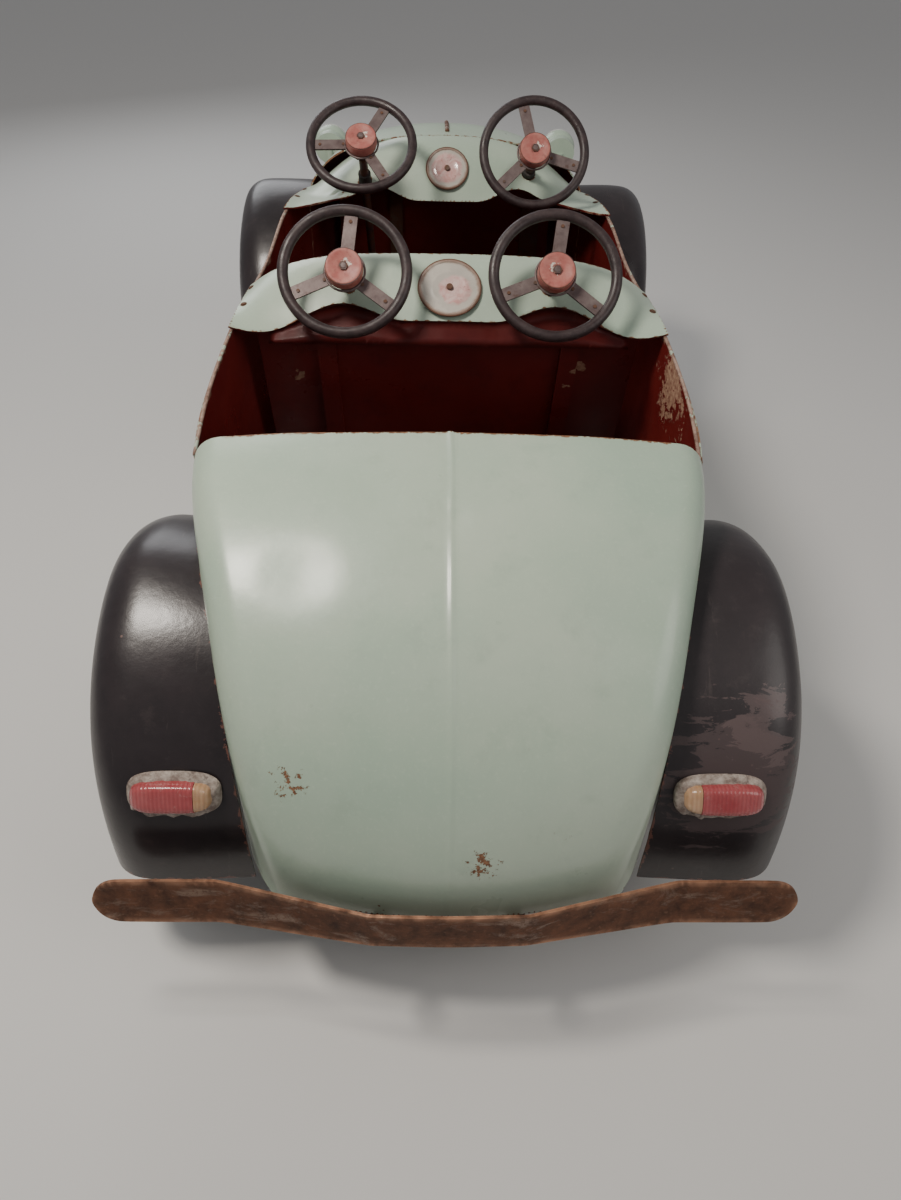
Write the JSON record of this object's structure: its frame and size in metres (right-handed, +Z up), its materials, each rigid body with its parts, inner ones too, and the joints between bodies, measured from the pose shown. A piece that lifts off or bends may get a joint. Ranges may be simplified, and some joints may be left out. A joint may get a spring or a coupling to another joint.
{
  "type": "pedal car",
  "caption": "Two-row, four-seat children's pedal car with a rounded sheet-metal body, separate fenders, a steering wheel at each seat, strip bumpers and chain drive.",
  "frame": {"origin": "centre of the footprint, on the ground under the tyres", "axes": "+Y points forward, +X to the car's right-hand side, +Z up"},
  "size_m": [0.934, 1.95, 0.8095],
  "materials": {
    "mint_paint": "satin gloss, worn, rust specks at the edges",
    "black_paint": "gloss, worn, brushed-over repairs",
    "red_paint": "semi-gloss, chipped",
    "seat_board": "dark red paint, rubbed",
    "frame_paint": "dull black",
    "bumper_steel": "worn plating with brown rust",
    "lens_red": "ribbed, sun-faded",
    "lens_amber": "cream amber, clouded",
    "gasket": "crusted grey sealing compound",
    "headlamp_glass": "clear, clouded",
    "dial_face": "mottled pink over clear",
    "screw_steel": "rusted",
    "rim_bakelite": "dark brown, rubbed",
    "spoke_steel": "dull, stained",
    "hub_red": "faded salmon red, chipped",
    "bright_steel": "oiled",
    "cast": "rough",
    "tyre": "dull",
    "pedal_rubber": "ribbed"
  },
  "bodies": {
    "root": {"floor_pan": "red_paint", "toe_board": "red_paint", "tail_shell": "mint_paint", "side_panel_left": "mint_paint", "side_panel_right": "mint_paint", "rear_cowl": "mint_paint", "front_cowl": "mint_paint", "bonnet": "mint_paint", "grille": "bumper_steel", "seat_bulkhead": "red_paint", "front_seat": "seat_board", "rear_seat": "seat_board", "rear_fender_left": "black_paint", "rear_fender_right": "black_paint", "front_fender_left": "black_paint", "front_fender_right": "black_paint", "tail_lamp_gaskets": "gasket", "tail_lamp_lens_left": "lens_red", "tail_lamp_lens_right": "lens_red", "tail_lamp_reflectors": "lens_amber", "headlamp_shells": "mint_paint", "headlamp_lenses": "headlamp_glass", "rear_bumper": "bumper_steel", "front_bumper": "bumper_steel", "bumper_brackets": "frame_paint", "rear_dial": "dial_face", "front_dial": "dial_face", "dial_screws": "screw_steel", "chassis_frame": "frame_paint", "bearing_blocks": "cast", "front_axle_beam": "frame_paint", "drive_chain": "bright_steel", "column_bushes": "cast"},
    "steering_rear_left": {"steering_rim_rear_left": "rim_bakelite", "steering_spider_rear_left": "spoke_steel", "steering_column_rear_left": "hub_red"},
    "steering_rear_right": {"steering_rim_rear_right": "rim_bakelite", "steering_spider_rear_right": "spoke_steel", "steering_column_rear_right": "hub_red"},
    "steering_front_left": {"steering_rim_front_left": "rim_bakelite", "steering_spider_front_left": "spoke_steel", "steering_column_front_left": "hub_red"},
    "steering_front_right": {"steering_rim_front_right": "rim_bakelite", "steering_spider_front_right": "spoke_steel", "steering_column_front_right": "hub_red"},
    "rear_axle_set": {"rear_axle": "bright_steel", "axle_sprocket": "bright_steel", "tyre_rear_left": "tyre", "disc_rear_left": "mint_paint"},
    "wheel_rear_right": {"tyre_rear_right": "tyre", "disc_rear_right": "mint_paint"},
    "knuckle_left": {"knuckle_left": "frame_paint"},
    "knuckle_right": {"knuckle_right": "frame_paint"},
    "wheel_front_left": {"tyre_front_left": "tyre", "disc_front_left": "mint_paint"},
    "wheel_front_right": {"tyre_front_right": "tyre", "disc_front_right": "mint_paint"},
    "tie_rod": {"tie_rod": "frame_paint"},
    "crank": {"pedal_crank": "bright_steel"},
    "pedal_left": {"pedal_left": "pedal_rubber"},
    "pedal_right": {"pedal_right": "pedal_rubber"}
  },
  "joints": [
    {"name": "rear_axle_turn", "type": "hinge", "parent": "root", "child": "rear_axle_set", "pos_m": [0, -0.593, 0.12], "axis": [1, 0, 0], "continuous": true},
    {"name": "rear_right_wheel_turn", "type": "hinge", "parent": "rear_axle_set", "child": "wheel_rear_right", "pos_m": [0.392, -0.593, 0.12], "axis": [1, 0, 0], "continuous": true},
    {"name": "crank_turn", "type": "hinge", "parent": "root", "child": "crank", "pos_m": [-0.16, 0.425, 0.27], "axis": [1, 0, 0], "continuous": true},
    {"name": "pedal_left_turn", "type": "hinge", "parent": "crank", "child": "pedal_left", "pos_m": [-0.23, 0.487, 0.27], "axis": [1, 0, 0], "continuous": true},
    {"name": "pedal_right_turn", "type": "hinge", "parent": "crank", "child": "pedal_right", "pos_m": [-0.09, 0.363, 0.27], "axis": [1, 0, 0], "continuous": true},
    {"name": "steering_rear_left_turn", "type": "hinge", "parent": "root", "child": "steering_rear_left", "pos_m": [-0.16, -0.167, 0.682], "axis": [0, -0.7193, 0.6947], "continuous": true},
    {"name": "steering_rear_right_turn", "type": "hinge", "parent": "root", "child": "steering_rear_right", "pos_m": [0.16, -0.167, 0.682], "axis": [0, -0.7193, 0.6947], "continuous": true},
    {"name": "steering_front_left_turn", "type": "hinge", "parent": "root", "child": "steering_front_left", "pos_m": [-0.16, 0.285, 0.735], "axis": [0, -0.5736, 0.8192], "range_deg": [-40, 40]},
    {"name": "steering_front_right_turn", "type": "hinge", "parent": "root", "child": "steering_front_right", "pos_m": [0.16, 0.285, 0.727], "axis": [0, -0.788, 0.6157], "continuous": true},
    {"name": "knuckle_left_turn", "type": "hinge", "parent": "root", "child": "knuckle_left", "pos_m": [-0.326, 0.665, 0.12], "axis": [0, 0, 1], "range_deg": [-26, 26]},
    {"name": "knuckle_right_turn", "type": "hinge", "parent": "root", "child": "knuckle_right", "pos_m": [0.326, 0.665, 0.12], "axis": [0, 0, 1], "range_deg": [-26, 26]},
    {"name": "tie_rod_slide", "type": "slide", "parent": "root", "child": "tie_rod", "axis": [1, 0, 0], "range_m": [-0.033, 0.033]},
    {"name": "front_left_wheel_turn", "type": "hinge", "parent": "knuckle_left", "child": "wheel_front_left", "pos_m": [-0.392, 0.665, 0.12], "axis": [1, 0, 0], "continuous": true},
    {"name": "front_right_wheel_turn", "type": "hinge", "parent": "knuckle_right", "child": "wheel_front_right", "pos_m": [0.392, 0.665, 0.12], "axis": [1, 0, 0], "continuous": true}
  ],
  "couplings": [
    {"joint": "crank_turn", "follows": "rear_axle_turn", "ratio": 0.59091},
    {"joint": "pedal_left_turn", "follows": "rear_axle_turn", "ratio": -0.59091},
    {"joint": "pedal_right_turn", "follows": "rear_axle_turn", "ratio": -0.59091},
    {"joint": "knuckle_left_turn", "follows": "steering_front_left_turn", "ratio": 0.634},
    {"joint": "knuckle_right_turn", "follows": "steering_front_left_turn", "ratio": 0.634},
    {"joint": "tie_rod_slide", "follows": "steering_front_left_turn", "m_per_rad": 0.04604}
  ]
}
